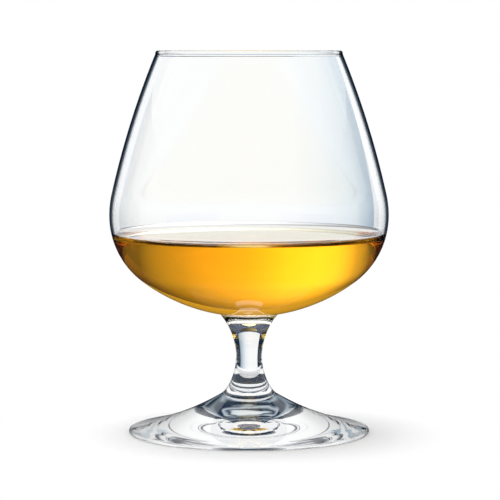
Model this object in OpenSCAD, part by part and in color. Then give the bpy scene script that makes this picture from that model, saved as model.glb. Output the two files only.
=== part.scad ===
// Brandy snifter, standing on its foot, with a measure of brandy in the bowl.
// A thin blown bowl, a solid waisted stem and a solid pressed foot are fused at two seams.
// Millimetres, +Z up, origin on the table at the middle of the foot.

/* [Bowl outside] */
// overall height from the table to the top of the rim
height = 127; // [122:0.5:136]
// largest diameter of the bowl, at the belly
bowl_d = 92.8; // [88:0.2:98]
// outline radius below the widest ring
belly_r = 27.2; // [25:0.2:29.4]
// radius of the round underside
base_r = 59.2; // [57:0.2:62]
// outline radius above the widest ring
shoulder_r = 32.8; // [29:0.2:38]
// height of the shoulder arc
shoulder_rise = 7.2; // [5:0.2:9]
// radius of the long side that closes in towards the rim
side_r = 287; // [240:1:400]

/* [Bowl wall] */
// wall thickness around the widest ring
wall = 1.36; // [1.1:0.02:1.8]
// thickness of glass at the bottom of the bowl
base_wall = 2.96; // [2:0.02:4]
// inside radius above the widest ring
shoulder_in_r = 31.16; // [29:0.04:33]
// diameter of the fire-polished bead on the rim
bead_d = 1.7; // [1.6:0.02:2.4]

/* [Stem] */
// diameter at the waist
waist_d = 8.68; // [7:0.02:11]
// height from the waist up to the bottom of the bowl
stem_top_h = 13.7; // [12:0.1:16]
// height from the seam with the foot up to the waist
stem_low_h = 10.96; // [9.6:0.02:12.4]
// outline radius from the waist up to the bowl
stem_top_r = 22; // [19:0.1:26]
// outline radius from the waist down to the foot
stem_low_r = 19; // [15:0.1:26]

/* [Foot] */
// diameter of the foot
foot_d = 80.2; // [74:0.2:88]
// height of the foot, up to its seam with the stem
foot_h = 14.14; // [13:0.02:15.4]
// outline radius where the stem flows into the foot
flare_r = 5.75; // [4:0.05:8]
// slope where the flare runs into the long sweep out to the edge, in degrees
sweep_slope = 30.7; // [27:0.1:34]
// radius of the rounded edge
edge_r = 0.6; // [0.5:0.02:0.8]
// how far the hollow under the foot rises
hollow_rise = 1.5; // [0.5:0.1:2.5]
// width of the flat ring that bears on the table
ring_w = 5.8; // [4:0.2:9]

/* [Brandy] */
// depth at the middle of the bowl
depth = 23.54; // [10:0.02:27]
// radius of the curve where the brandy climbs the glass
meniscus_r = 2.6; // [2.2:0.1:3.4]
// how far it climbs
meniscus_rise = 1.6; // [0.8:0.1:1.8]

/* [Hidden] */
// overlap that lets two tangent outlines join without a sliver between them
lap = 0.01;
// facets of a whole turn, of an outline arc, of a long flat arc and of a small round
turn_fn = 96;
arc_fn = 120;
long_fn = 720;
small_fn = 48;
// how far cutting shapes run past what they cut
past = 1;
// reach of the cutting strips, past every outline
far = 60;

// the stem stands on the foot, and the bowl on the stem
waist_h = foot_h + stem_low_h;
bowl_low = waist_h + stem_top_h;
// middle of the round underside
bowl_r = bowl_d / 2;
base_z = bowl_low + base_r;
// middle of the belly arc, which touches the underside and which the wall's two sides share
belly_x = bowl_r - belly_r;
belly_h = base_z - reach(base_r - belly_r, belly_x);
// the same for the inside of the bowl, which sits base_wall higher
belly_in_r = belly_r - wall;
inside_low = bowl_low + base_wall;
inside_gap = belly_h - inside_low - belly_in_r;
inside_z = belly_h + (pow(belly_x, 2) - pow(inside_gap, 2)) / (2 * inside_gap);
inside_r = inside_z - inside_low;
inside_turn = belly_h - belly_in_r * (inside_z - belly_h) / (inside_r - belly_in_r);
// cosine and sine of the angle where the shoulder passes into the long side
turn_sin = shoulder_rise / shoulder_r;
turn_cos = sqrt(1 - pow(turn_sin, 2));
// middles of the shoulder arcs and of the long arcs, outside then inside
shoulder_x = bowl_r - shoulder_r;
side_x = shoulder_x + (shoulder_r - side_r) * turn_cos;
side_z = belly_h + (shoulder_r - side_r) * turn_sin;
shoulder_in_x = bowl_r - wall - shoulder_in_r;
side_in_x = shoulder_in_x + (shoulder_in_r - side_r) * turn_cos;
side_in_z = belly_h + (shoulder_in_r - side_r) * turn_sin;
// the bead sits on the middle of the wall
bead_r = bead_d / 2;
bead_z = height - bead_r;
bead_x = (side_x + reach(side_r, bead_z - side_z) + side_in_x + reach(side_r, bead_z - side_in_z)) / 2;

// stem outline: two hollow arcs that meet at the waist
waist_r = waist_d / 2;
seam_r = waist_r + stem_low_r - reach(stem_low_r, stem_low_h);
// the stem runs this far past the bottom of the bowl before the bowl's round underside trims it
stem_past = 3;

// foot edge, a small round
foot_r = foot_d / 2;
// the edge is cut this much flat underneath, where it runs into the bearing ring
edge_flat = 0.05;
// the sweep runs into the edge this far below its top
edge_dip = 0.1;
edge_z = edge_r - edge_flat;
edge_x = foot_r - edge_r;
// foot outline: the flare carries on from the stem's lower arc
flare_x = seam_r + flare_r * reach(stem_low_r, stem_low_h) / stem_low_r;
flare_z = foot_h + flare_r * stem_low_h / stem_low_r;
// then one long hollow arc, which starts on the flare at sweep_slope and ends in the edge
sweep_x = flare_x - flare_r * sin(sweep_slope);
sweep_z = flare_z - flare_r * cos(sweep_slope);
sweep_run = edge_x - sweep_x;
sweep_drop = sweep_z - (edge_z + edge_r - edge_dip);
sweep_bend = sweep_run * sin(sweep_slope) - sweep_drop * cos(sweep_slope);
sweep_r = (pow(sweep_run, 2) + pow(sweep_drop, 2)) / (2 * sweep_bend);
hollow_out_r = foot_r - ring_w;
hollow_r = (pow(hollow_out_r, 2) + pow(hollow_rise, 2)) / (2 * hollow_rise);

// brandy: the inside of the bowl up to the level, with its edge drawn up the wall
level = inside_low + depth;
contact_z = level + meniscus_rise;
contact_r = inside_reach(contact_z);
meniscus_x = contact_r - reach(meniscus_r, meniscus_r - meniscus_rise);

// piece to draw

// half-width of a circle at a distance from its middle
function reach(r, off) = sqrt(pow(r, 2) - pow(off, 2));

// radius of the bowl's inner wall at a height up to the top of the shoulder
function inside_reach(z) =
    z < inside_turn ? reach(inside_r, inside_z - z) :
    z < belly_h ? belly_x + reach(belly_in_r, belly_h - z) :
    shoulder_in_x + reach(shoulder_in_r, z - belly_h);

// strip from the axis outwards between two heights
module strip(low, high) {
    translate([0, low])
        square([far, high - low]);
}

// from the axis out to a rounded outline, between two heights
module bulge(x, z, r, low, high, facets = arc_fn) {
    intersection() {
        union() {
            translate([x, z])
                circle(r, $fn = facets);
            if (x > 0)
                translate([0, low - past])
                    square([x, high - low + 2 * past]);
        }
        strip(low, high);
    }
}

// from the axis out to a hollow outline, between two heights
module waist(x, z, r, low, high) {
    difference() {
        translate([0, low])
            square([x, high - low]);
        translate([x, z])
            circle(r, $fn = arc_fn);
    }
}

// everything inside the bowl's outside, up to the middle of the bead
module outside_shape() {
    low_turn = belly_h - belly_r * (base_z - belly_h) / (base_r - belly_r);
    high_turn = belly_h + shoulder_rise;
    bulge(0, base_z, base_r, bowl_low, low_turn);
    bulge(belly_x, belly_h, belly_r, low_turn, belly_h);
    bulge(shoulder_x, belly_h, shoulder_r, belly_h, high_turn);
    bulge(side_x, side_z, side_r, high_turn, bead_z, long_fn);
}

// everything inside the bowl's inner wall, past the rim
module inside_shape() {
    high_turn = belly_h + shoulder_in_r * turn_sin;
    bulge(0, inside_z, inside_r, inside_low, inside_turn);
    bulge(belly_x, belly_h, belly_in_r, inside_turn, belly_h);
    bulge(shoulder_in_x, belly_h, shoulder_in_r, belly_h, high_turn);
    bulge(side_in_x, side_in_z, side_r, high_turn, bead_z + past, long_fn);
}

// thin blown bowl, thicker at the bottom, with a bead round the rim
module bowl() {
    color([0.86, 0.91, 0.94, 0.35])
        rotate_extrude($fn = turn_fn)
            union() {
                difference() {
                    outside_shape();
                    inside_shape();
                }
                translate([bead_x, bead_z])
                    circle(bead_r, $fn = small_fn);
            }
}

// solid stem, hollowed to the bowl's round underside at the top
module stem() {
    color([0.84, 0.9, 0.93, 0.35])
        rotate_extrude($fn = turn_fn)
            difference() {
                union() {
                    waist(waist_r + stem_top_r, waist_h, stem_top_r, waist_h, bowl_low + stem_past);
                    waist(waist_r + stem_low_r, waist_h, stem_low_r, foot_h, waist_h);
                }
                translate([0, base_z])
                    circle(base_r, $fn = arc_fn);
            }
}

// solid foot: flare, long sweep, rounded edge, shallow hollow underneath
module foot() {
    color([0.84, 0.9, 0.93, 0.35])
        rotate_extrude($fn = turn_fn)
            intersection() {
                difference() {
                    union() {
                        difference() {
                            square([sweep_x, foot_h]);
                            translate([flare_x, flare_z])
                                circle(flare_r, $fn = arc_fn);
                        }
                        difference() {
                            square([edge_x, foot_h]);
                            translate([sweep_x, sweep_z + lap])
                                translate([sin(sweep_slope) * sweep_r, cos(sweep_slope) * sweep_r])
                                    circle(sweep_r, $fn = long_fn);
                        }
                        translate([edge_x, edge_z])
                            circle(edge_r, $fn = small_fn);
                    }
                    translate([0, hollow_rise - hollow_r])
                        circle(hollow_r, $fn = long_fn);
                }
                strip(0, foot_h);
            }
}

// brandy at rest: fills the bowl to the level and climbs the wall at its edge
module brandy() {
    color([0.93, 0.6, 0.06, 0.75])
        rotate_extrude($fn = turn_fn)
            difference() {
                intersection() {
                    inside_shape();
                    strip(inside_low, contact_z + lap);
                }
                union() {
                    translate([0, level])
                        square([meniscus_x, meniscus_rise + past]);
                    translate([meniscus_x, level + meniscus_r])
                        circle(meniscus_r, $fn = small_fn);
                }
            }
}

bowl();
stem();
foot();
brandy();
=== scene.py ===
"""Brandy snifter holding a measure of brandy: turned glass pieces on a pale studio floor."""

from math import atan2, ceil, cos, pi, radians, sin, sqrt, tau

import bmesh
import bpy
from bpy.props import FloatProperty, IntProperty, PointerProperty, StringProperty
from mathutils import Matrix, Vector


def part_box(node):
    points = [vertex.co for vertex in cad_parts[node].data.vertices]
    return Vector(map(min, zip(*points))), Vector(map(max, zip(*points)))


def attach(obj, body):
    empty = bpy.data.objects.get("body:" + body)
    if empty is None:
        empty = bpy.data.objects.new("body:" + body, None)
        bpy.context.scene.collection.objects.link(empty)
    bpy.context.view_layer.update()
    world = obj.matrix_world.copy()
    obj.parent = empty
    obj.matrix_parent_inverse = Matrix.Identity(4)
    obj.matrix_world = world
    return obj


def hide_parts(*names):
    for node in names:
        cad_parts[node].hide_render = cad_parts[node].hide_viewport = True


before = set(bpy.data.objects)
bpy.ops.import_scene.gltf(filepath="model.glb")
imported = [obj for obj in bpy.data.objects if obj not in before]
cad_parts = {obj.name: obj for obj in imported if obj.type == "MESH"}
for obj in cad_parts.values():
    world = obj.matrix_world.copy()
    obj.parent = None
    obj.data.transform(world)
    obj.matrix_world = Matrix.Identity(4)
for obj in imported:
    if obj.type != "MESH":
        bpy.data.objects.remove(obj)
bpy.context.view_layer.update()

bl_info = {
    "name": "Brandy Snifter",
    "version": (1, 0, 0),
    "blender": (4, 5, 0),
    "location": "View3D > Sidebar > Snifter",
    "description": "Makes a stemmed brandy snifter, the brandy in it and a pale studio",
    "category": "Add Mesh",
}

BOWL_LOW, BOWL_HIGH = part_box("bowl")
_, FOOT_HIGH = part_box("foot")
BRANDY_LOW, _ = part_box("brandy")
MM = 0.001

# What a stretch of a piece's skin touches: air, the brandy, or the glass that it is fused to.
FREE, WETTED, FUSED = 0, 1, 2
SKINS = ("Free Skin", "Wetted Skin", "Fused Skin")
# How far a face's zone may lie from the number of its skin.
ZONE_SLACK = 0.5
# Longest stretch and widest turn between two points of an outline.
POINT_SPACING = 0.7 * MM
POINT_TURN = radians(5)
# An outline that turns by more than this at a point has a sharp ring there.
SHARP_TURN = radians(24)
# An edge whose two ends average more than this lies along a sharp ring.
BOTH_ENDS = 0.9
# Points closer than this are one: the seam of a turn, and its poles.
WELD = 0.001 * MM
# A finished mesh may differ from its CAD box by this much.
BOX_SLACK = 0.5 * MM
# The pattern of the cords in the glass is drawn out around the piece: its scale along each axis.
CORD_STRETCH = (0.4, 0.4, 1.0)

# A Mix node's two colours and the colour that it gives, as numbers of its sockets.
MIX_FIRST, MIX_SECOND, MIX_RESULT = 6, 7, 2
# Light turns back many times inside solid glass and under the top of the brandy.
LIGHT_BOUNCES = 32
# The level of soft light all round, and its shade.
AMBIENT_LEVEL = 0.95
AMBIENT_SHADE = "#FBFCFD"
# The soft lamp: its place, what it points at, the length of its sides and its power in watts.
LAMP_PLACE = (-0.1, 0.1, 1.0)
LAMP_AIM = (0.0, 0.0, 0.05)
LAMP_SIZE = 0.7
LAMP_POWER = 4.0
# The camera's sensor in millimetres, and the nearest and furthest that it sees.
SENSOR_WIDTH = 36.0
NEAREST, FURTHEST = 0.01, 20.0
# The floor lies a hair below the foot, and its shadow fades out from the edge of the foot to here.
FLOOR_HEIGHT = -0.05 * MM
FOOT_REACH = FOOT_HIGH.x + 1.9 * MM
SHADOW_REACH = 90 * MM
# White openings of the tent, in degrees: from and to around the glass, from and to above the horizon.
TENT_OPENINGS = ((-200, -36, 4, 62), (36, 200, 4, 62), (-36, 36, 30, 62))
# How far the edges of an opening fade to either side, around the glass and up, in degrees.
FADE_AROUND, FADE_UP = 1.5, 8.0

# Which light sees a screen: how many faces of glass it has passed, looking from the camera. That is into
# and out of one piece of glass, both walls of the bowl, or both walls and the brandy.
NO_LIMIT = 99
ONE_PIECE = (1, 2)
BOTH_WALLS = (4, 4)
BRANDY_TOO = (5, NO_LIMIT)
# And how often it has turned back.
STRAIGHT = (0, 0)
ONE_TURN = (1, 1)
ANY_TURNS = (0, NO_LIMIT)

# Plain shades of the studio.
# DARK_CARD is also the colour of the painted shade on the floor under the foot.
DARK_CARD = "#12283E"
BLACK_CARD = "#0C1014"
GREY_CARD = "#505050"
BROWN_CARD = "#302820"
TENT_CLOTH = "#10161E"
MATT_FLOOR = "#FAFAFA"
WHITE = "#FFFFFF"
BLUE_GEL = "#506CF4"
GEL_LEVEL = 1.05
# Shades along a screen: a share of the way and the colour there. First the backdrop, from the middle to
# the right, and the glow behind it, from right to left.
BACKDROP_SHADES = ((0.0, WHITE), (0.3, "#F4F8FB"), (0.65, "#DCE7EE"), (1.0, "#A0BACB"))
GLOW_SHADES = ((0.0, "#D0DCEC"), (0.3, "#E4EDFF"))
GLOW_LEVEL = 1.25
# The lit panel behind the brandy and the dark above it, from right to left. At the floor the panel has
# only a share of its level, which it reaches at a share of its height.
BACKLIGHT_SHADES = (
    (0.0, "#505050"), (0.39, "#5C5C5C"), (0.46, "#A0A0A0"), (0.5, "#D2D2D2"), (0.52, "#F8F8F8"),
    (0.54, WHITE), (0.56, "#F4F4F4"), (0.6, "#B0B0B0"), (0.67, "#5C5C5C"), (0.8, "#505050"),
)
BACKLIGHT_LEVEL = 2.4
DIM_SHARE = 0.4
DIM_HEIGHT = 0.35
CEILING_SHADES = ((0.0, "#303030"), (0.45, "#505050"), (0.7, WHITE), (1.0, WHITE))
# The rings that draw the outline of the bowl and its rim, from straight behind to the front on one side.
OUTLINE_SHADES = (
    (0.0, DARK_CARD), (0.05, DARK_CARD), (0.072, "#8A929A"), (0.078, WHITE), (0.125, WHITE),
    (0.13, DARK_CARD), (0.17, DARK_CARD), (0.25, WHITE),
)
RIM_SHADES = ((0.0, "#A9BCCB"), (0.06, "#A9BCCB"), (0.1, DARK_CARD))
# The back of the foot's edge, from left to right.
FOOT_SHADES = (
    (0.0, "#9DB4C4"), (0.41, "#9DB4C4"), (0.44, DARK_CARD), (0.56, DARK_CARD), (0.59, "#D4DFE8"),
    (1.0, "#D4DFE8"),
)
# Behind the stem, from the middle to the right.
STEM_SHADES = ((0.0, WHITE), (0.3, "#F2F6F9"), (1.0, "#8FA9BA"))
# The swirl in the foot, from the middle of its rings outwards. Its rings sway by a share of the screen.
SWIRL_SHADES = (
    (0.0, "#F4F8FA"), (0.07, "#DCE6EC"), (0.1, DARK_CARD), (0.16, "#C4D0D8"), (0.2, DARK_CARD),
    (0.27, "#30404E"), (0.32, "#A8B8C4"), (0.36, DARK_CARD), (0.5, "#2A3846"), (0.56, "#7C90A0"),
    (0.62, DARK_CARD), (1.0, DARK_CARD),
)
SWIRL_MIDDLE = (0.5, 0.35, 0.0)
SWIRL_SWAY = 0.35
SWIRL_WAVES = 5.0
# Dark flags round the stem: their number, the bearing of the first and how far each reaches to both sides.
FLAGS = 4
FIRST_FLAG = 45
FLAG_HALF = 18
# Longest stretch of a curved screen, in degrees.
CURVE_STEP = 6


def length(name, description, metres):
    """A property that holds a length."""
    return FloatProperty(name=name, description=description, default=metres, unit="LENGTH", precision=5)


def angle(name, description, degrees):
    """A property that holds an angle."""
    return FloatProperty(name=name, description=description, default=radians(degrees), subtype="ANGLE")


def factor(name, description, value):
    """A property that holds a plain number."""
    return FloatProperty(name=name, description=description, default=value, precision=4)


def colour(name, description, value):
    """A property that holds an sRGB hex colour."""
    return StringProperty(name=name, description=description, default=value)


class BowlSizes(bpy.types.PropertyGroup):
    """Sizes of the blown bowl, outside and inside."""

    height: length("Height", "Top of the rim above the table", BOWL_HIGH.z)
    bottom: length("Bottom", "Lowest point of the underside above the table", BOWL_LOW.z)
    diameter: length("Diameter", "Across the widest ring", 2 * BOWL_HIGH.x)
    base_radius: length("Base Radius", "Radius of the round underside", 59.2 * MM)
    belly_radius: length("Belly Radius", "Outline radius below the widest ring", 27.2 * MM)
    shoulder_radius: length("Shoulder Radius", "Outline radius above the widest ring", 32.8 * MM)
    shoulder_rise: length("Shoulder Rise", "Height of the shoulder arc", 7.2 * MM)
    side_radius: length("Side Radius", "Radius of the long side that closes in to the rim", 287 * MM)
    wall: length("Wall", "Wall thickness around the widest ring", 1.36 * MM)
    base_wall: length("Base Wall", "Thickness of glass at the bottom", BRANDY_LOW.z - BOWL_LOW.z)
    inner_shoulder: length("Inner Shoulder", "Inside radius above the widest ring", 31.16 * MM)
    bead: length("Bead", "Diameter of the fire-polished bead on the rim", 1.7 * MM)
    bead_fillet: length("Bead Fillet", "Radius between the bead and the wall", 1.5 * MM)


class StemSizes(bpy.types.PropertyGroup):
    """Sizes of the solid stem."""

    waist: length("Waist", "Diameter at the waist", 8.68 * MM)
    waist_height: length("Waist Height", "Height of the waist above the table", FOOT_HIGH.z + 10.96 * MM)
    top_radius: length("Top Radius", "Outline radius from the waist up to the bowl", 22 * MM)
    low_radius: length("Low Radius", "Outline radius from the waist down to the foot", 19 * MM)
    fillet: length("Fillet", "Radius where the hot stem flowed onto the bowl", 1.0 * MM)


class FootSizes(bpy.types.PropertyGroup):
    """Sizes of the pressed foot."""

    diameter: length("Diameter", "Across the foot", 2 * FOOT_HIGH.x)
    height: length("Height", "Height of the foot, up to its seam with the stem", FOOT_HIGH.z)
    flare_radius: length("Flare Radius", "Outline radius where the stem flows into the foot", 5.75 * MM)
    sweep_slope: angle("Sweep Slope", "Slope where the flare runs into the long sweep", 30.7)
    edge_radius: length("Edge Radius", "Radius of the rounded edge", 0.6 * MM)
    edge_flat: length("Edge Flat", "How much of the edge is cut flat underneath", 0.05 * MM)
    edge_dip: length("Edge Dip", "How far below its top the edge meets the sweep", 0.1 * MM)
    hollow_rise: length("Hollow Rise", "How far the hollow underneath rises", 1.5 * MM)
    ring_width: length("Ring Width", "Width of the flat ring that bears on the table", 5.8 * MM)


class BrandySizes(bpy.types.PropertyGroup):
    """Sizes of the measure of brandy."""

    depth: length("Depth", "Depth at the middle of the bowl", 23.54 * MM)
    meniscus_radius: length("Meniscus Radius", "Radius of the curve up the glass", 2.6 * MM)
    meniscus_rise: length("Meniscus Rise", "How far the brandy climbs the glass", 1.6 * MM)
    overlap: length("Overlap", "How far the brandy's skin lies inside the glass wall", 0.04 * MM)


class Finishes(bpy.types.PropertyGroup):
    """Colours and optical values of the glass and the brandy."""

    steps_around: IntProperty(name="Steps Around", description="Faces in a whole turn", default=240, min=64)
    glass_index: factor("Glass Index", "Refractive index of soda-lime glass", 1.52)
    brandy_index: factor("Brandy Index", "Refractive index of spirit at 40 percent", 1.36)
    glass_colour: colour("Glass Colour", "Tint of the clear glass", "#FEFFFF")
    brandy_colour: colour("Brandy Colour", "Light that is left after one absorption length", "#FEE710")
    brandy_strength: factor("Brandy Strength", "Absorption per metre of brandy", 60.0)
    cord_spacing: length("Cord Spacing", "Spacing of the faint cords in the blown glass", 9 * MM)
    cord_height: length("Cord Height", "Height of the cords", 0.003 * MM)


class StudioSizes(bpy.types.PropertyGroup):
    """Camera, floor, backdrop and tent of the studio."""

    lens: factor("Lens", "Focal length in millimetres on a 36 mm sensor", 167.63)
    camera_distance: length("Camera Distance", "From the camera to the axis of the glass", 772.4 * MM)
    camera_height: length("Camera Height", "Camera above the table", 125.7 * MM)
    camera_tilt: angle("Camera Tilt", "How far the camera looks down", 4.80)
    camera_side: length("Camera Side", "Camera to the right of the axis", 0.33 * MM)
    floor_reach: length("Floor Reach", "From the axis to each side of the pale floor", 2.5)
    backdrop_distance: length("Backdrop Distance", "How far behind the axis the backdrop stands", 200 * MM)
    tent_radius: length("Tent Radius", "Radius of the dark tent", 1.5)


class Snifter(bpy.types.PropertyGroup):
    """All the values that a user may change."""

    bowl: PointerProperty(type=BowlSizes)
    stem: PointerProperty(type=StemSizes)
    foot: PointerProperty(type=FootSizes)
    brandy: PointerProperty(type=BrandySizes)
    finish: PointerProperty(type=Finishes)
    studio: PointerProperty(type=StudioSizes)


def linear(hex_colour):
    """An sRGB hex colour as linear red, green, blue and alpha."""
    parts = [int(hex_colour[i:i + 2], 16) / 255 for i in (1, 3, 5)]
    return [p / 12.92 if p <= 0.04045 else ((p + 0.055) / 1.055) ** 2.4 for p in parts] + [1.0]


def put(tree, kind, inputs=None, **settings):
    """Adds a node with its settings, and sets or links each of its inputs."""
    node = tree.nodes.new(kind)
    for name, value in settings.items():
        setattr(node, name, value)
    for name, value in (inputs or {}).items():
        if isinstance(value, bpy.types.NodeSocket):
            tree.links.new(value, node.inputs[name])
        else:
            node.inputs[name].default_value = value
    return node


def crossing(middle_a, radius_a, middle_b, radius_b):
    """Where two circles cross, on the right-hand side going from the first middle to the second."""
    gap = middle_b - middle_a
    along = (gap.length_squared + radius_a ** 2 - radius_b ** 2) / (2 * gap.length)
    aside = sqrt(radius_a ** 2 - along ** 2)
    ahead = gap.normalized()
    return middle_a + along * ahead + aside * Vector((ahead.y, -ahead.x))


def past(start, through, distance):
    """The point at a distance from the start on the line through another point."""
    return start + distance * (through - start).normalized()


class Outline:
    """Half outline of a turned piece: points (radius, height), and what each stretch touches."""

    def __init__(self, radius, height):
        self.points = [Vector((radius, height))]
        self.zones = []

    def line(self, end, zone):
        """Goes straight on to an end point."""
        self.points.append(end.copy())
        self.zones.append(zone)

    def arc(self, middle, end, zone):
        """Goes on to an end point round a middle, the short way."""
        start = self.points[-1] - middle
        first = atan2(start.y, start.x)
        turn = (atan2(end.y - middle.y, end.x - middle.x) - first + pi) % tau - pi
        steps = ceil(max(abs(turn) * start.length / POINT_SPACING, abs(turn) / POINT_TURN))
        for step in range(1, steps):
            here = first + turn * step / steps
            self.points.append(middle + start.length * Vector((cos(here), sin(here))))
        self.points.append(end.copy())
        self.zones += [zone] * steps

    def sharp(self):
        """For each point, 1 if the outline has a corner there and 0 if it runs on smoothly."""
        ways = [b - a for a, b in zip(self.points, self.points[1:])]
        turns = [a.angle(b) > SHARP_TURN for a, b in zip(ways, ways[1:])]
        return [0.0] + [float(turn) for turn in turns] + [0.0]


class Wall:
    """One side of the bowl's glass: four arcs that touch, from the axis up to the rim."""

    def __init__(self, bottom, diameter, belly_radius, base_radius, shoulder_radius, sizes):
        self.belly_radius = belly_radius
        self.base_radius = base_radius
        self.side_radius = sizes.side_radius
        self.pole = Vector((0.0, bottom))
        self.base = Vector((0.0, bottom + base_radius))
        belly_x = diameter / 2 - belly_radius
        drop = sqrt((base_radius - belly_radius) ** 2 - belly_x ** 2)
        self.belly = Vector((belly_x, self.base.y - drop))
        self.low_turn = past(self.base, self.belly, base_radius)
        self.widest = self.belly + Vector((belly_radius, 0.0))
        rise = sizes.shoulder_rise / sizes.shoulder_radius
        lean = Vector((sqrt(1 - rise ** 2), rise))
        self.shoulder = self.widest - Vector((shoulder_radius, 0.0))
        self.high_turn = self.shoulder + shoulder_radius * lean
        self.side = self.high_turn - self.side_radius * lean

    def side_at(self, height):
        """Point of the long side at a height."""
        return Vector((self.side.x + sqrt(self.side_radius ** 2 - (height - self.side.y) ** 2), height))


def outer_wall(bowl):
    """The bowl's outside."""
    return Wall(bowl.bottom, bowl.diameter, bowl.belly_radius, bowl.base_radius, bowl.shoulder_radius, bowl)


def inner_wall(bowl):
    """The bowl's inside, which shares the belly's middle and sits base_wall higher at the bottom."""
    belly = outer_wall(bowl).belly
    belly_radius = bowl.belly_radius - bowl.wall
    bottom = bowl.bottom + bowl.base_wall
    gap = belly.y - bottom - belly_radius
    base_radius = belly.y + (belly.x ** 2 - gap ** 2) / (2 * gap) - bottom
    return Wall(bottom, bowl.diameter - 2 * bowl.wall, belly_radius, base_radius, bowl.inner_shoulder, bowl)


def stem_join(snifter):
    """The fillet between stem and bowl: its middle, and where it leaves the stem and meets the bowl."""
    stem, bowl = snifter.stem, snifter.bowl
    hollow = Vector((stem.waist / 2 + stem.top_radius, stem.waist_height))
    base = outer_wall(bowl).base
    middle = crossing(base, bowl.base_radius + stem.fillet, hollow, stem.top_radius - stem.fillet)
    return middle, past(hollow, middle, stem.top_radius), past(base, middle, bowl.base_radius)


def contact_line(snifter):
    """Where the brandy's curved edge meets the inner wall, and the middle of that curve."""
    wall, brandy = inner_wall(snifter.bowl), snifter.brandy
    level = wall.pole.y + brandy.depth
    height = level + brandy.meniscus_rise
    reach = sqrt(wall.belly_radius ** 2 - (height - wall.belly.y) ** 2)
    contact = Vector((wall.belly.x + reach, height))
    drop = brandy.meniscus_radius - brandy.meniscus_rise
    inwards = sqrt(brandy.meniscus_radius ** 2 - drop ** 2)
    return contact, Vector((contact.x - inwards, level + brandy.meniscus_radius))


def bowl_outline(snifter):
    """From the bottom of the inside up its wall, over the bead and down the outside to the underside."""
    bowl = snifter.bowl
    out, inn = outer_wall(bowl), inner_wall(bowl)
    contact, _ = contact_line(snifter)
    bead_radius = bowl.bead / 2
    height = bowl.height - bead_radius
    bead = (out.side_at(height) + inn.side_at(height)) / 2
    reach = bead_radius + bowl.bead_fillet
    outer_fillet = crossing(out.side, bowl.side_radius + bowl.bead_fillet, bead, reach)
    inner_fillet = crossing(inn.side, bowl.side_radius - bowl.bead_fillet, bead, reach)
    outline = Outline(*inn.pole)
    outline.arc(inn.base, inn.low_turn, WETTED)
    outline.arc(inn.belly, contact, WETTED)
    outline.arc(inn.belly, inn.widest, FREE)
    outline.arc(inn.shoulder, inn.high_turn, FREE)
    outline.arc(inn.side, past(inn.side, inner_fillet, bowl.side_radius), FREE)
    outline.arc(inner_fillet, past(bead, inner_fillet, bead_radius), FREE)
    outline.arc(bead, bead + Vector((0.0, bead_radius)), FREE)
    outline.arc(bead, past(bead, outer_fillet, bead_radius), FREE)
    outline.arc(outer_fillet, past(out.side, outer_fillet, bowl.side_radius), FREE)
    outline.arc(out.side, out.high_turn, FREE)
    outline.arc(out.shoulder, out.widest, FREE)
    outline.arc(out.belly, out.low_turn, FREE)
    outline.arc(out.base, stem_join(snifter)[2], FREE)
    outline.arc(out.base, out.pole, FUSED)
    return outline


def stem_outline(snifter):
    """From the middle of the upper seam out over it, down the waisted side and in over the lower seam."""
    stem, bowl, foot = snifter.stem, snifter.bowl, snifter.foot
    waist = Vector((stem.waist / 2, stem.waist_height))
    upper = waist + Vector((stem.top_radius, 0.0))
    lower = waist + Vector((stem.low_radius, 0.0))
    fillet, on_stem, on_bowl = stem_join(snifter)
    outline = Outline(0.0, bowl.bottom)
    outline.arc(outer_wall(bowl).base, on_bowl, FUSED)
    outline.arc(fillet, on_stem, FREE)
    outline.arc(upper, waist, FREE)
    outline.arc(lower, foot_seam(snifter), FREE)
    outline.line(Vector((0.0, foot.height)), FUSED)
    return outline


def foot_seam(snifter):
    """Edge of the seam between the stem and the foot."""
    stem, foot = snifter.stem, snifter.foot
    drop = stem.waist_height - foot.height
    reach = sqrt(stem.low_radius ** 2 - drop ** 2)
    return Vector((stem.waist / 2 + stem.low_radius - reach, foot.height))


def foot_outline(snifter):
    """From the middle of the seam out, down the flare and the long sweep, round the edge and under."""
    stem, foot = snifter.stem, snifter.foot
    seam = foot_seam(snifter)
    lower = Vector((stem.waist / 2 + stem.low_radius, stem.waist_height))
    flare = past(seam, lower, foot.flare_radius)
    slope = Vector((sin(foot.sweep_slope), cos(foot.sweep_slope)))
    sweep_start = flare - foot.flare_radius * slope
    edge = Vector((foot.diameter / 2 - foot.edge_radius, foot.edge_radius - foot.edge_flat))
    sweep_aim = edge + Vector((0.0, foot.edge_radius - foot.edge_dip))
    span = sweep_aim - sweep_start
    sweep_radius = span.length_squared / (2 * span.dot(slope))
    sweep = sweep_start + sweep_radius * slope
    sweep_end = crossing(sweep, sweep_radius, edge, foot.edge_radius)
    ring_out = Vector((edge.x + sqrt(foot.edge_radius ** 2 - edge.y ** 2), 0.0))
    ring_in = Vector((foot.diameter / 2 - foot.ring_width, 0.0))
    hollow_radius = (ring_in.x ** 2 + foot.hollow_rise ** 2) / (2 * foot.hollow_rise)
    outline = Outline(0.0, foot.height)
    outline.line(seam, FUSED)
    outline.arc(flare, sweep_start, FREE)
    outline.arc(sweep, sweep_end, FREE)
    outline.arc(edge, edge + Vector((foot.edge_radius, 0.0)), FREE)
    outline.arc(edge, ring_out, FREE)
    outline.line(ring_in, FREE)
    outline.arc(Vector((0.0, foot.hollow_rise - hollow_radius)), Vector((0.0, foot.hollow_rise)), FREE)
    return outline


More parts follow.
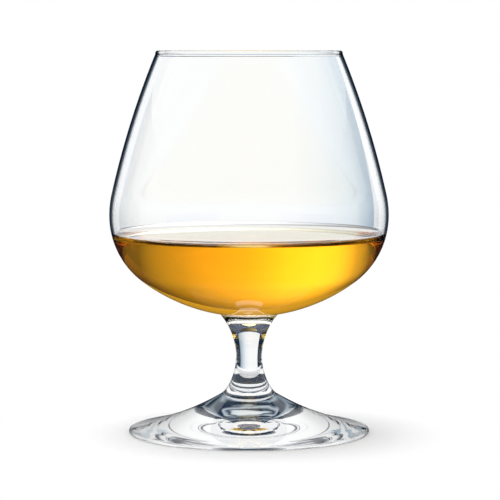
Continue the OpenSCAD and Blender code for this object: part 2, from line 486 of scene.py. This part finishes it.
def brandy_outline(snifter):
    """From the middle of the level top out to its curved edge, and down the wall to the bottom."""
    brandy = snifter.brandy
    wall = inner_wall(snifter.bowl)
    _, meniscus = contact_line(snifter)
    belly_radius = wall.belly_radius + brandy.overlap
    base_radius = wall.base_radius + brandy.overlap
    level = wall.pole.y + brandy.depth
    edge = crossing(wall.belly, belly_radius, meniscus, brandy.meniscus_radius)
    outline = Outline(0.0, level)
    outline.line(Vector((meniscus.x, level)), FREE)
    outline.arc(meniscus, edge, FREE)
    outline.arc(wall.belly, past(wall.base, wall.low_turn, base_radius), WETTED)
    outline.arc(wall.base, Vector((0.0, wall.base.y - base_radius)), WETTED)
    return outline


def turned_tree():
    """Builds the node tree that turns a half outline about the Z axis into a closed skin."""
    tree = bpy.data.node_groups.new("Turned about the axis", "GeometryNodeTree")
    for name, kind in (
        ("Outline", "NodeSocketGeometry"),
        ("Steps Around", "NodeSocketInt"),
        ("Weld Distance", "NodeSocketFloat"),
        *((skin, "NodeSocketMaterial") for skin in SKINS),
    ):
        tree.interface.new_socket(name, in_out="INPUT", socket_type=kind)
    tree.interface.new_socket("Skin", in_out="OUTPUT", socket_type="NodeSocketGeometry")
    given = put(tree, "NodeGroupInput").outputs
    outline, around = given["Outline"], given["Steps Around"]

    # A flat grid with a row for each point of the outline; its last column closes the turn.
    points = put(tree, "GeometryNodeAttributeDomainSize", {"Geometry": outline}, component="MESH")
    columns = put(tree, "ShaderNodeMath", {0: around, 1: 1.0}, operation="ADD").outputs[0]
    grid = put(
        tree, "GeometryNodeMeshGrid", {"Vertices X": points.outputs["Point Count"], "Vertices Y": columns}
    )
    index = put(tree, "GeometryNodeInputIndex").outputs[0]
    row = put(tree, "ShaderNodeMath", {0: index, 1: columns}, operation="DIVIDE").outputs[0]
    row = put(tree, "ShaderNodeMath", {0: row}, operation="FLOOR").outputs[0]
    column = put(tree, "ShaderNodeMath", {0: index, 1: columns}, operation="MODULO").outputs[0]
    face_row = put(tree, "ShaderNodeMath", {0: index, 1: around}, operation="DIVIDE").outputs[0]
    face_row = put(tree, "ShaderNodeMath", {0: face_row}, operation="FLOOR").outputs[0]

    # Each grid point goes to its outline point, turned by its share of the whole turn.
    share = put(tree, "ShaderNodeMath", {0: column, 1: around}, operation="DIVIDE").outputs[0]
    turn = put(tree, "ShaderNodeMath", {0: share, 1: tau}, operation="MULTIPLY").outputs[0]
    place = put(
        tree,
        "GeometryNodeSampleIndex",
        {"Geometry": outline, "Value": put(tree, "GeometryNodeInputPosition").outputs[0], "Index": row},
        data_type="FLOAT_VECTOR",
        domain="POINT",
    )
    turned = put(
        tree, "ShaderNodeVectorRotate", {"Vector": place.outputs[0], "Angle": turn}, rotation_type="Z_AXIS"
    ).outputs[0]
    skin = put(tree, "GeometryNodeSetPosition", {"Geometry": grid.outputs[0], "Position": turned})

    # What each stretch touches goes to its faces, and corners of the outline become sharp rings.
    marks = {}
    for name, given_on, kept_on, number in (
        ("zone", "EDGE", "FACE", face_row), ("corner", "POINT", "POINT", row)
    ):
        marks[name] = put(
            tree, "GeometryNodeInputNamedAttribute", {"Name": name}, data_type="FLOAT"
        ).outputs[0]
        mark = put(
            tree,
            "GeometryNodeSampleIndex",
            {"Geometry": outline, "Value": marks[name], "Index": number},
            data_type="FLOAT",
            domain=given_on,
        )
        skin = put(
            tree,
            "GeometryNodeStoreNamedAttribute",
            {"Geometry": skin.outputs[0], "Name": name, "Value": mark.outputs[0]},
            data_type="FLOAT",
            domain=kept_on,
        )
    skin = put(
        tree,
        "GeometryNodeMergeByDistance",
        {"Geometry": skin.outputs[0], "Distance": given["Weld Distance"]},
    )
    skin = put(tree, "GeometryNodeSetShadeSmooth", {"Geometry": skin.outputs[0]}, domain="FACE")
    sharp = put(tree, "ShaderNodeMath", {0: marks["corner"], 1: BOTH_ENDS}, operation="GREATER_THAN")
    skin = put(
        tree,
        "GeometryNodeSetShadeSmooth",
        {"Geometry": skin.outputs[0], "Selection": sharp.outputs[0], "Shade Smooth": False},
        domain="EDGE",
    )
    skin = put(tree, "GeometryNodeRealizeInstances", {"Geometry": skin.outputs[0]})
    for number, name in enumerate(SKINS):
        touching = put(
            tree,
            "ShaderNodeMath",
            {0: marks["zone"], 1: float(number), 2: ZONE_SLACK},
            operation="COMPARE",
        )
        skin = put(
            tree,
            "GeometryNodeSetMaterial",
            {"Geometry": skin.outputs[0], "Selection": touching.outputs[0], "Material": given[name]},
        )
    put(tree, "NodeGroupOutput", {"Skin": skin.outputs[0]})
    return tree


def turned_piece(name, outline, skins):
    """Turns an outline into the closed mesh of a piece that stands for the CAD node of the same name."""
    profile = bpy.data.meshes.new(name)
    edges = [(i, i + 1) for i in range(len(outline.zones))]
    profile.from_pydata([(p.x, 0.0, p.y) for p in outline.points], edges, [])
    profile.attributes.new("zone", "FLOAT", "EDGE").data.foreach_set("value", outline.zones)
    profile.attributes.new("corner", "FLOAT", "POINT").data.foreach_set("value", outline.sharp())
    piece = bpy.data.objects.new(name + "_turned", profile)
    bpy.context.scene.collection.objects.link(piece)
    tree = bpy.data.node_groups.get("Turned about the axis") or turned_tree()
    modifier = piece.modifiers.new("Turned", "NODES")
    modifier.node_group = tree
    given = {
        "Steps Around": bpy.context.scene.snifter.finish.steps_around,
        "Weld Distance": WELD,
        **dict(zip(SKINS, skins)),
    }
    for socket in tree.interface.items_tree:
        if socket.name in given:
            modifier[socket.identifier] = given[socket.name]
    solid = bpy.data.meshes.new_from_object(piece.evaluated_get(bpy.context.evaluated_depsgraph_get()))
    piece.modifiers.remove(modifier)
    piece.data = solid
    bpy.data.meshes.remove(profile)
    solid.name = name
    check_solid(piece, name)
    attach(piece, "root")
    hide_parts(name)


def check_solid(piece, node):
    """Stops if a mesh is open, inside out, or not the size of the CAD node that it stands for."""
    loose = bmesh.new()
    loose.from_mesh(piece.data)
    open_edges = sum(not edge.is_manifold for edge in loose.edges)
    volume = loose.calc_volume(signed=True)
    loose.free()
    if open_edges or volume <= 0:
        raise RuntimeError(f"{piece.name}: {open_edges} open edges, volume {volume:.3e} m3")
    low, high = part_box(node)
    points = [vertex.co for vertex in piece.data.vertices]
    for axis in range(3):
        reach = (min(p[axis] for p in points), max(p[axis] for p in points))
        if abs(reach[0] - low[axis]) > BOX_SLACK or abs(reach[1] - high[axis]) > BOX_SLACK:
            raise RuntimeError(f"{piece.name} isn't the size of {node}: {reach}, {low[axis]}, {high[axis]}")


def new_material(name):
    """An empty node material, found again if it was made before."""
    known = bpy.data.materials.get(name)
    if known:
        return known, None
    material = bpy.data.materials.new(name)
    material.use_nodes = True
    material.node_tree.nodes.clear()
    return material, material.node_tree


def cords(tree, finish):
    """Bump of the faint cords that gathering and turning leave in blown glass, long around the piece."""
    place = put(tree, "ShaderNodeTexCoord").outputs["Object"]
    stretch = put(tree, "ShaderNodeMapping", {"Vector": place, "Scale": CORD_STRETCH}).outputs[0]
    wave = put(
        tree,
        "ShaderNodeTexNoise",
        {"Vector": stretch, "Scale": 1 / finish.cord_spacing, "Detail": 1.0, "Roughness": 0.4},
    )
    return put(
        tree, "ShaderNodeBump", {"Height": wave.outputs[0], "Distance": finish.cord_height}
    ).outputs[0]


def glass_skin(name, index):
    """Clear glass with a fire-polished skin, against air or against brandy as the index says."""
    finish = bpy.context.scene.snifter.finish
    material, tree = new_material(name)
    if tree:
        surface = put(
            tree,
            "ShaderNodeBsdfPrincipled",
            {
                "Base Color": linear(finish.glass_colour),
                "Roughness": 0.0,
                "IOR": index,
                "Transmission Weight": 1.0,
                "Normal": cords(tree, finish),
            },
        )
        put(tree, "ShaderNodeOutputMaterial", {"Surface": surface.outputs[0]})
    return material


def fused_skin():
    """The seam between two pieces of one glass: nothing shows there."""
    material, tree = new_material("Soda-lime glass, fused seam")
    if tree:
        through = put(tree, "ShaderNodeBsdfTransparent", {"Color": linear(WHITE)})
        put(tree, "ShaderNodeOutputMaterial", {"Surface": through.outputs[0]})
    return material


def glass_skins():
    """The three skins of the glass: free, wetted by brandy and fused to more glass."""
    finish = bpy.context.scene.snifter.finish
    # Soda-lime glass, fire-polished: clear and mirror smooth, with bright and dark lines at its edges.
    free = glass_skin("Soda-lime glass, fire-polished", finish.glass_index)
    # Under the brandy the step in index is small, so the inner wall almost vanishes.
    wetted = glass_skin("Soda-lime glass, wetted by brandy", finish.glass_index / finish.brandy_index)
    return free, wetted, fused_skin()


def brandy_skin():
    """Oak-aged brandy: clear amber that deepens with the depth that is looked through."""
    finish = bpy.context.scene.snifter.finish
    material, tree = new_material("Brandy, oak-aged spirit")
    if tree:
        # The level top bends light as spirit does; against the glass the wall's own skin bends it.
        zone = put(tree, "ShaderNodeAttribute", attribute_name="zone").outputs["Fac"]
        index = put(
            tree,
            "ShaderNodeMapRange",
            {
                "Value": zone,
                "From Min": FREE,
                "From Max": WETTED,
                "To Min": finish.brandy_index,
                "To Max": 1.0,
            },
        )
        surface = put(
            tree,
            "ShaderNodeBsdfPrincipled",
            {
                "Base Color": linear(WHITE),
                "Roughness": 0.0,
                "IOR": index.outputs[0],
                "Transmission Weight": 1.0,
            },
        )
        depth = put(
            tree,
            "ShaderNodeVolumeAbsorption",
            {"Color": linear(finish.brandy_colour), "Density": finish.brandy_strength},
        )
        put(
            tree,
            "ShaderNodeOutputMaterial",
            {"Surface": surface.outputs[0], "Volume": depth.outputs[0]},
        )
    return material


class SNIFTER_OT_bowl(bpy.types.Operator):
    """Make the blown bowl with its beaded rim"""

    bl_idname = "snifter.bowl"
    bl_label = "Bowl"

    def execute(self, context):
        turned_piece("bowl", bowl_outline(context.scene.snifter), glass_skins())
        return {"FINISHED"}


class SNIFTER_OT_stem(bpy.types.Operator):
    """Make the solid waisted stem"""

    bl_idname = "snifter.stem"
    bl_label = "Stem"

    def execute(self, context):
        turned_piece("stem", stem_outline(context.scene.snifter), glass_skins())
        return {"FINISHED"}


class SNIFTER_OT_foot(bpy.types.Operator):
    """Make the solid pressed foot"""

    bl_idname = "snifter.foot"
    bl_label = "Foot"

    def execute(self, context):
        turned_piece("foot", foot_outline(context.scene.snifter), glass_skins())
        return {"FINISHED"}


class SNIFTER_OT_brandy(bpy.types.Operator):
    """Make the measure of brandy in the bowl"""

    bl_idname = "snifter.brandy"
    bl_label = "Brandy"

    def execute(self, context):
        skins = [brandy_skin()] * len(SKINS)
        turned_piece("brandy", brandy_outline(context.scene.snifter), skins)
        return {"FINISHED"}


def stage_object(name, mesh, material, hidden_from):
    """A piece of the studio, which isn't part of the object, hidden from some kinds of light."""
    mesh.materials.append(material)
    made = bpy.data.objects.new(name, mesh)
    bpy.context.scene.collection.objects.link(made)
    for kind in hidden_from:
        setattr(made, "visible_" + kind, False)


def light_in_glass(tree, passed, turned):
    """1 for light that passed that many faces of glass and turned back that often, else 0."""
    ray = put(tree, "ShaderNodeLightPath").outputs
    counts = ((ray["Transmission Depth"], passed), (ray["Glossy Depth"], turned))
    within = {}
    for number, (count, (low, high)) in enumerate(counts):
        span = {0: count, 1: (low + high) / 2, 2: (high - low + 1) / 2}
        within[number] = put(tree, "ShaderNodeMath", span, operation="COMPARE").outputs[0]
    return put(tree, "ShaderNodeMath", within, operation="MULTIPLY").outputs[0]


def pale_floor(studio):
    """Matt white floor: the camera sees the shadow on it, and the glass shows it as plain white, apart from
    a painted shade under the foot.
    """
    material, tree = new_material("Matt white studio floor")
    place = put(tree, "ShaderNodeTexCoord").outputs["Object"]
    away = put(tree, "ShaderNodeVectorMath", {0: place}, operation="LENGTH").outputs["Value"]
    fade = put(
        tree,
        "ShaderNodeMapRange",
        {"Value": away, "From Min": FOOT_REACH, "From Max": SHADOW_REACH},
        interpolation_type="SMOOTHSTEP",
    )
    ray = put(tree, "ShaderNodeLightPath").outputs
    plain = put(
        tree, "ShaderNodeMath", {0: fade.outputs[0], 1: ray["Is Transmission Ray"]}, operation="MAXIMUM"
    )
    # Under the foot the floor has a painted shade: it is dark to light that turned back up to three times
    # in one piece of glass.
    under = put(tree, "ShaderNodeMath", {0: away, 1: FOOT_REACH}, operation="LESS_THAN").outputs[0]
    turned = light_in_glass(tree, ONE_PIECE, (1, 3))
    dark = put(tree, "ShaderNodeMath", {0: under, 1: turned}, operation="MULTIPLY").outputs[0]
    shades = {0: dark, MIX_FIRST: linear(WHITE), MIX_SECOND: linear(DARK_CARD)}
    shade = put(tree, "ShaderNodeMix", shades, data_type="RGBA").outputs[MIX_RESULT]
    matt = put(tree, "ShaderNodeBsdfDiffuse", {"Color": linear(MATT_FLOOR)})
    # This glow is plain white, and dark where the painted shade under the foot lies.
    white = put(tree, "ShaderNodeEmission", {"Color": shade, "Strength": 1.0})
    mixed = put(
        tree, "ShaderNodeMixShader", {0: plain.outputs[0], 1: matt.outputs[0], 2: white.outputs[0]}
    )
    put(tree, "ShaderNodeOutputMaterial", {"Surface": mixed.outputs[0]})
    side = studio.floor_reach
    corners = [(-side, -side), (side, -side), (side, side), (-side, side)]
    mesh = bpy.data.meshes.new("floor")
    mesh.from_pydata([(x, y, FLOOR_HEIGHT) for x, y in corners], [], [(0, 1, 2, 3)])
    stage_object("floor", mesh, material, ("glossy",))


def window(tree, value, low, high, fade):
    """1 between two values and 0 outside them, fading to both sides of each."""
    edges = {}
    for number, (edge, before, after) in enumerate(((low, 0.0, 1.0), (high, 1.0, 0.0))):
        edges[number] = put(
            tree,
            "ShaderNodeMapRange",
            {
                "Value": value,
                "From Min": edge - fade,
                "From Max": edge + fade,
                "To Min": before,
                "To Max": after,
            },
            interpolation_type="SMOOTHSTEP",
        ).outputs[0]
    return put(tree, "ShaderNodeMath", edges, operation="MULTIPLY").outputs[0]


def reflection_tent(studio):
    """A dark tent with white openings, which only reflections show."""
    material, tree = new_material("Dark studio tent")
    place = put(tree, "ShaderNodeTexCoord").outputs["Object"]
    way = put(tree, "ShaderNodeVectorMath", {0: place}, operation="NORMALIZE").outputs[0]
    axes = put(tree, "ShaderNodeSeparateXYZ", {0: way}).outputs
    turn = put(tree, "ShaderNodeMath", {0: axes["X"], 1: axes["Y"]}, operation="ARCTAN2").outputs[0]
    rise = put(tree, "ShaderNodeMath", {0: axes["Z"]}, operation="ARCSINE").outputs[0]
    lit = 0.0
    for first, last, bottom, top in TENT_OPENINGS:
        wide = window(tree, turn, radians(first), radians(last), radians(FADE_AROUND))
        tall = window(tree, rise, radians(bottom), radians(top), radians(FADE_UP))
        lit = put(tree, "ShaderNodeMath", {0: wide, 1: tall, 2: lit}, operation="MULTIPLY_ADD").outputs[0]
    shades = {0: lit, MIX_FIRST: linear(TENT_CLOTH), MIX_SECOND: linear(WHITE)}
    shade = put(tree, "ShaderNodeMix", shades, data_type="RGBA").outputs[MIX_RESULT]
    glow = put(tree, "ShaderNodeEmission", {"Color": shade, "Strength": 1.0})
    put(tree, "ShaderNodeOutputMaterial", {"Surface": glow.outputs[0]})
    loose = bmesh.new()
    bmesh.ops.create_uvsphere(loose, u_segments=48, v_segments=24, radius=studio.tent_radius)
    mesh = bpy.data.meshes.new("tent")
    loose.to_mesh(mesh)
    loose.free()
    stage_object("tent", mesh, material, ("camera", "diffuse", "shadow", "transmission"))


def shades_along(tree, shades, swirl):
    """Colours from one end of a screen to the other, or in swaying rings about a middle."""
    share = put(tree, "ShaderNodeAttribute", attribute_name="across").outputs["Fac"]
    if swirl:
        up = put(tree, "ShaderNodeAttribute", attribute_name="up").outputs["Fac"]
        place = put(tree, "ShaderNodeCombineXYZ", {"X": share, "Y": up}).outputs[0]
        noise = put(tree, "ShaderNodeTexNoise", {"Vector": place, "Scale": SWIRL_WAVES, "Detail": 2.0})
        # The noise lies about 0.5, so the middle moves by half of the sway.
        swayed = put(
            tree,
            "ShaderNodeVectorMath",
            {0: noise.outputs["Color"], 1: [SWIRL_SWAY] * 3, 2: place},
            operation="MULTIPLY_ADD",
        )
        middle = [way + SWIRL_SWAY / 2 for way in SWIRL_MIDDLE]
        share = put(
            tree, "ShaderNodeVectorMath", {0: swayed.outputs[0], 1: middle}, operation="DISTANCE"
        ).outputs["Value"]
    ramp = put(tree, "ShaderNodeValToRGB", {"Fac": share})
    stops = ramp.color_ramp.elements
    while len(stops) < len(shades):
        stops.new(0.5)
    for stop, (position, shade) in zip(stops, shades):
        stop.position = position
        stop.color = linear(shade)
    return ramp.outputs[0]


def screen(name, ground, heights, shades, passed, turned, level=1.0, dim=False, swirl=False):
    """An upright screen over a line on the ground, plain or shaded, for some of the light in the glass."""
    material, tree = new_material("Studio screen " + name)
    colour = linear(shades) if isinstance(shades, str) else shades_along(tree, shades, swirl)
    strength = level
    if dim:
        up = put(tree, "ShaderNodeAttribute", attribute_name="up").outputs["Fac"]
        strength = put(
            tree,
            "ShaderNodeMapRange",
            {"Value": up, "From Max": DIM_HEIGHT, "To Min": level * DIM_SHARE, "To Max": level},
            interpolation_type="SMOOTHSTEP",
        ).outputs[0]
    glow = put(tree, "ShaderNodeEmission", {"Color": colour, "Strength": strength})
    clear = put(tree, "ShaderNodeBsdfTransparent")
    shown = light_in_glass(tree, passed, turned)
    mixed = put(tree, "ShaderNodeMixShader", {0: shown, 1: clear.outputs[0], 2: glow.outputs[0]})
    put(tree, "ShaderNodeOutputMaterial", {"Surface": mixed.outputs[0]})
    points = [(x, y, z) for x, y in ground for z in heights]
    spans = len(ground) - 1
    mesh = bpy.data.meshes.new("screen_" + name)
    mesh.from_pydata(points, [], [(2 * i, 2 * i + 1, 2 * i + 3, 2 * i + 2) for i in range(spans)])
    across = [i // 2 / spans for i in range(len(points))]
    up = [i % 2 for i in range(len(points))]
    mesh.attributes.new("across", "FLOAT", "POINT").data.foreach_set("value", across)
    mesh.attributes.new("up", "FLOAT", "POINT").data.foreach_set("value", up)
    stage_object("screen_" + name, mesh, material, ("camera", "diffuse", "glossy", "shadow"))


def straight(behind, first, last):
    """Two points on the ground at a distance behind the axis, each so far to the right of it."""
    return [(first, behind), (last, behind)]


def curve(radius, first, last):
    """Points on the ground round the axis, from one bearing to another, in degrees from straight behind."""
    steps = ceil(abs(last - first) / CURVE_STEP)
    bearings = [radians(first + (last - first) * step / steps) for step in range(steps + 1)]
    return [(radius * sin(bearing), radius * cos(bearing)) for bearing in bearings]


def mirrored(shades):
    """Shades along the first half of a screen, and the same in reverse along its second half."""
    return (*shades, *((1 - position, shade) for position, shade in reversed(shades)))


def glass_screens(back):
    """Screens that only light inside the glass sees: they give it its dark lines and its gradients."""
    # Lengths are in metres and bearings in degrees. Screens that overlap stand a little apart, because
    # light that passes one of them unseen would miss another in the same place.

    # Behind the bowl: a backdrop that darkens to the right, and a glow that its reflections show.
    tall = (0.0, 0.25)
    screen("backdrop", straight(back, 0.02, 0.07), tall, BACKDROP_SHADES, BOTH_WALLS, STRAIGHT)
    behind = straight(back + 0.01, 0.12, -0.25)
    screen("glow", behind, tall, GLOW_SHADES, BOTH_WALLS, ONE_TURN, GLOW_LEVEL)
    # Behind the brandy, which gathers it: a lit panel, and the dark above it.
    panel, panel_top = back + 0.03, 0.13
    screen(
        "backlight", straight(panel, 0.5, -0.5), (0.0, panel_top), BACKLIGHT_SHADES, BRANDY_TOO, ANY_TURNS,
        BACKLIGHT_LEVEL, dim=True,
    )
    screen("ceiling", straight(panel, 0.3, -0.3), (panel_top, 0.3), CEILING_SHADES, BRANDY_TOO, ANY_TURNS)
    # In front and on the left: what darkens the brandy towards its sides.
    screen("front", curve(0.31, 120, 240), (0.0, 0.16), GREY_CARD, (7, NO_LIMIT), (4, NO_LIMIT))
    screen("left", curve(0.12, -112, -62), (0.0, 0.17), BROWN_CARD, (7, NO_LIMIT), (2, NO_LIMIT))
    # All round: the dark lines along the outline of the bowl, its rim and the edge of the foot.
    screen("outline", curve(0.3, 8, 352), (0.02, 0.19), mirrored(OUTLINE_SHADES), ONE_PIECE, ONE_TURN)
    screen("outline_turns", curve(0.06, 0, 360), (0.05, 0.14), DARK_CARD, ONE_PIECE, (2, 30))
    screen("rim", curve(0.15, 0, 360), (0.16, 0.28), mirrored(RIM_SHADES), ONE_PIECE, STRAIGHT)
    edge = (0.0, 0.006)
    screen("foot_edge", curve(FOOT_REACH - 0.5 * MM, -85, 85), edge, DARK_CARD, ONE_PIECE, (6, 8))
    screen("foot_sides", curve(FOOT_REACH, -85, 85), edge, FOOT_SHADES, ONE_PIECE, (9, NO_LIMIT))
    # Above: a black band, and over it blue light, which the brandy's amber turns to grey on its way down
    # to the stem. Light that turned back more often sees black there.
    gel_low, gel_high = 0.25, 8.0
    screen("overhead", curve(0.25, 0, 360), (0.16, gel_low), BLACK_CARD, (3, NO_LIMIT), ANY_TURNS)
    screen("gel", curve(0.25, 0, 360), (gel_low, gel_high), BLUE_GEL, (3, NO_LIMIT), (0, 1), GEL_LEVEL)
    screen("gel_turns", curve(0.26, 0, 360), (gel_low, gel_high), BLACK_CARD, (3, NO_LIMIT), (2, NO_LIMIT))
    # In front on both sides: more of the blue, and dark cards below it.
    for side in (-1, 1):
        first, last = side * 95, side * 150
        screen(f"gel_{side}", curve(0.24, first, last), (0.09, 0.3), BLUE_GEL, (5, 8), ONE_TURN, GEL_LEVEL)
        screen(f"stem_{side}", curve(0.07, first, last), (0.0, 0.04), DARK_CARD, (4, 7), (2, 2))
    # Round the stem: flags that draw its dark streaks, and a backdrop that darkens up to the first flag.
    stem_ring, stem_heights = 0.05, (0.0, 0.06)
    for number in range(FLAGS):
        bearing = FIRST_FLAG + number * 360 / FLAGS
        flag = curve(stem_ring, bearing - FLAG_HALF, bearing + FLAG_HALF)
        screen(f"flag_{number}", flag, stem_heights, DARK_CARD, ONE_PIECE, STRAIGHT)
    gap = curve(stem_ring, 0, FIRST_FLAG - FLAG_HALF)
    screen("stem_backdrop", gap, stem_heights, STEM_SHADES, ONE_PIECE, STRAIGHT)
    # Behind and beside the foot: the swirl in its cone, and the dark at both sides of it.
    behind = straight(0.1, -0.075, 0.075)
    screen("cone", behind, (0.0, 0.1), SWIRL_SHADES, ONE_PIECE, ONE_TURN, swirl=True)
    for side in (-1, 1):
        beside = curve(0.15, side * 57, side * 88)
        screen(f"cone_side_{side}", beside, (0.0, 0.08), DARK_CARD, ONE_PIECE, (3, 4))


def white_world():
    """White background for the camera and for what glass shows, and a plain level of soft light."""
    world = bpy.data.worlds.new("Soft white studio")
    bpy.context.scene.world = world
    world.use_nodes = True
    tree = world.node_tree
    tree.nodes.clear()
    ray = put(tree, "ShaderNodeLightPath").outputs
    seen = ray["Is Camera Ray"]
    for kind in ("Is Glossy Ray", "Is Transmission Ray"):
        seen = put(tree, "ShaderNodeMath", {0: seen, 1: ray[kind]}, operation="MAXIMUM").outputs[0]
    light = put(tree, "ShaderNodeBackground", {"Color": linear(AMBIENT_SHADE), "Strength": AMBIENT_LEVEL})
    white = put(tree, "ShaderNodeBackground", {"Color": linear(WHITE), "Strength": 1.0})
    mixed = put(tree, "ShaderNodeMixShader", {0: seen, 1: light.outputs[0], 2: white.outputs[0]})
    put(tree, "ShaderNodeOutputWorld", {"Surface": mixed.outputs[0]})


def soft_lamp():
    """A soft square lamp overhead."""
    light = bpy.data.lights.new("overhead", "AREA")
    light.size = LAMP_SIZE
    light.energy = LAMP_POWER
    made = bpy.data.objects.new("overhead", light)
    made.location = LAMP_PLACE
    made.rotation_euler = (Vector(LAMP_AIM) - Vector(LAMP_PLACE)).to_track_quat("-Z", "Y").to_euler()
    bpy.context.scene.collection.objects.link(made)


def photo_camera(studio):
    """Camera at the height of the rim, looking a little down at the glass."""
    lens = bpy.data.cameras.new("camera")
    lens.lens = studio.lens
    lens.sensor_width = SENSOR_WIDTH
    lens.clip_start = NEAREST
    lens.clip_end = FURTHEST
    made = bpy.data.objects.new("camera", lens)
    made.location = (studio.camera_side, -studio.camera_distance, studio.camera_height)
    made.rotation_euler = (pi / 2 - studio.camera_tilt, 0.0, 0.0)
    bpy.context.scene.collection.objects.link(made)
    bpy.context.scene.camera = made


class SNIFTER_OT_stage(bpy.types.Operator):
    """Set up the floor, the tent, the screens, the light and the camera"""

    bl_idname = "snifter.stage"
    bl_label = "Studio"

    def execute(self, context):
        studio = context.scene.snifter.studio
        context.scene.view_settings.view_transform = "Standard"
        for kind in ("max", "glossy", "transmission", "transparent_max"):
            setattr(context.scene.cycles, kind + "_bounces", LIGHT_BOUNCES)
        pale_floor(studio)
        reflection_tent(studio)
        glass_screens(studio.backdrop_distance)
        white_world()
        soft_lamp()
        photo_camera(studio)
        return {"FINISHED"}


class SNIFTER_PT_panel(bpy.types.Panel):
    """Sizes, finishes and steps of the snifter"""

    bl_idname = "SNIFTER_PT_panel"
    bl_label = "Brandy Snifter"
    bl_space_type = "VIEW_3D"
    bl_region_type = "UI"
    bl_category = "Snifter"

    def draw(self, context):
        for group in ("bowl", "stem", "foot", "brandy", "finish", "studio"):
            values = getattr(context.scene.snifter, group)
            box = self.layout.box()
            box.label(text=group.capitalize())
            for name in values.__annotations__:
                box.prop(values, name)
        for step in STEPS:
            self.layout.operator(step.bl_idname)


STEPS = (SNIFTER_OT_bowl, SNIFTER_OT_stem, SNIFTER_OT_foot, SNIFTER_OT_brandy, SNIFTER_OT_stage)
CLASSES = (
    BowlSizes, StemSizes, FootSizes, BrandySizes, Finishes, StudioSizes, Snifter, *STEPS, SNIFTER_PT_panel,
)


def register():
    """Registers the classes and the snifter's values."""
    for kind in CLASSES:
        bpy.utils.register_class(kind)
    bpy.types.Scene.snifter = PointerProperty(type=Snifter)


def unregister():
    """Takes away what register added."""
    del bpy.types.Scene.snifter
    for kind in reversed(CLASSES):
        bpy.utils.unregister_class(kind)


def main():
    """Makes every piece and the studio."""
    register()
    bpy.ops.snifter.bowl()
    bpy.ops.snifter.stem()
    bpy.ops.snifter.foot()
    bpy.ops.snifter.brandy()
    bpy.ops.snifter.stage()


if __name__ == "__main__":
    main()
